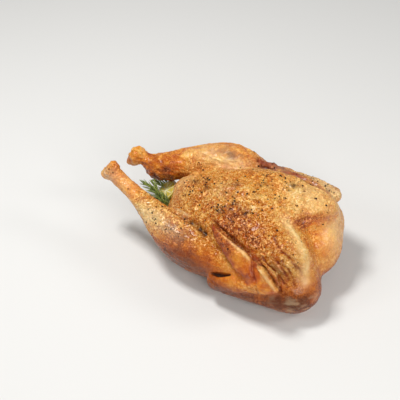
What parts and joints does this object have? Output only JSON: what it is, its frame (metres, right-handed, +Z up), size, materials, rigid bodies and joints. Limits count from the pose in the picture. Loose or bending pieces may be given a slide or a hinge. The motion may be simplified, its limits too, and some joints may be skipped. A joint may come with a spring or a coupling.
{
  "type": "roast turkey",
  "caption": "Whole roast turkey lying breast up, legs apart and wing tips folded in, with lemon slices in the open body cavity.",
  "frame": {"origin": "centre of the bounding box at its base, on the plane the bird lies on", "axes": "+X along the bird towards the neck end, +Y towards the bird's right side, +Z up through the breast"},
  "size_m": [0.3673, 0.217, 0.1333],
  "materials": {
    "turkey": "golden-brown roasted skin, thin film of fat, satin to glossy",
    "lemon": "wet cut lemon flesh with a waxy rind"
  },
  "bodies": {
    "root": {"turkey": "turkey", "lemon_slice_upper": "lemon", "lemon_slice_lower": "lemon"}
  },
  "joints": []
}
